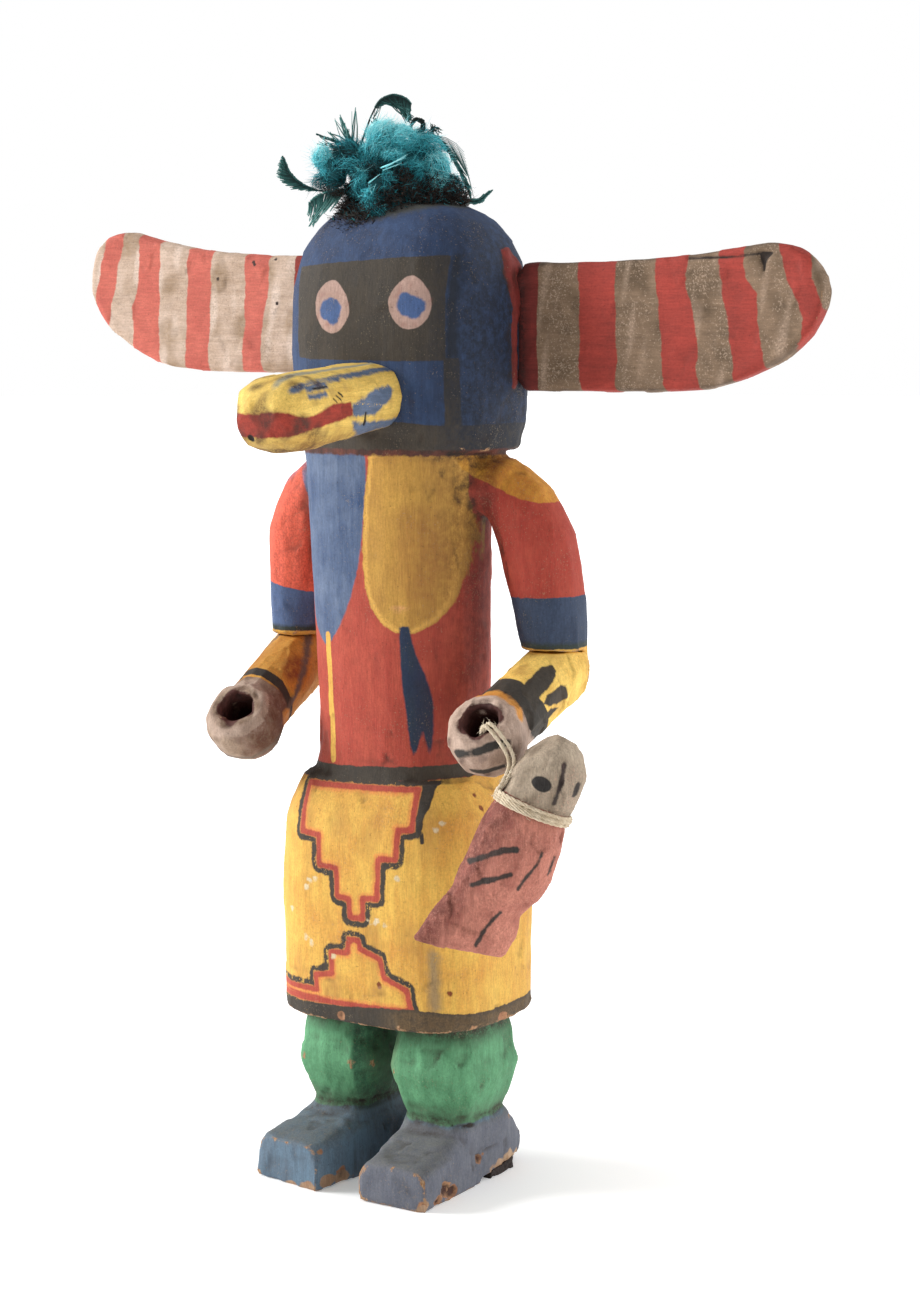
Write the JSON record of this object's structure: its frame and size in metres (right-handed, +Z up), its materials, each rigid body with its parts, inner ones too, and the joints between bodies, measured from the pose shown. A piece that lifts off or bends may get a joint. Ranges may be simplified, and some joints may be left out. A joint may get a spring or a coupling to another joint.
{
  "type": "carved kachina doll",
  "caption": "Standing carved and painted wooden figure with a case-mask head, flat striped ears, blunt snout, feather tuft, forward fists and a small fish hung from one hand.",
  "frame": {"origin": "middle of the bounding box's underside, at floor level", "axes": "+Z up, -Y the way the figure faces, +X its own left hand"},
  "size_m": [0.2608, 0.1074, 0.3291],
  "materials": {
    "carved_body": "matt mineral paint, worn",
    "forearms": "matt mineral paint, worn",
    "ears": "matt mineral paint, worn",
    "snout": "matt mineral paint, worn",
    "fish": "matt mineral paint, worn",
    "twine": "plied cotton",
    "wedge": "dark and dull",
    "down": "dyed down",
    "feathers": "dyed hackle"
  },
  "bodies": {
    "root": {"body": "carved_body", "forearm_left": "forearms", "forearm_right": "forearms", "ear_left": "ears", "ear_right": "ears", "snout": "snout", "fish": "fish", "string": "twine", "heel_wedge": "wedge", "down": "down", "feather_top": "feathers", "feather_left": "feathers", "feather_left_low": "feathers", "feather_spike": "feathers", "feather_fan": "feathers", "feather_droop": "feathers", "feather_right": "feathers", "feather_knob": "feathers"}
  },
  "joints": []
}
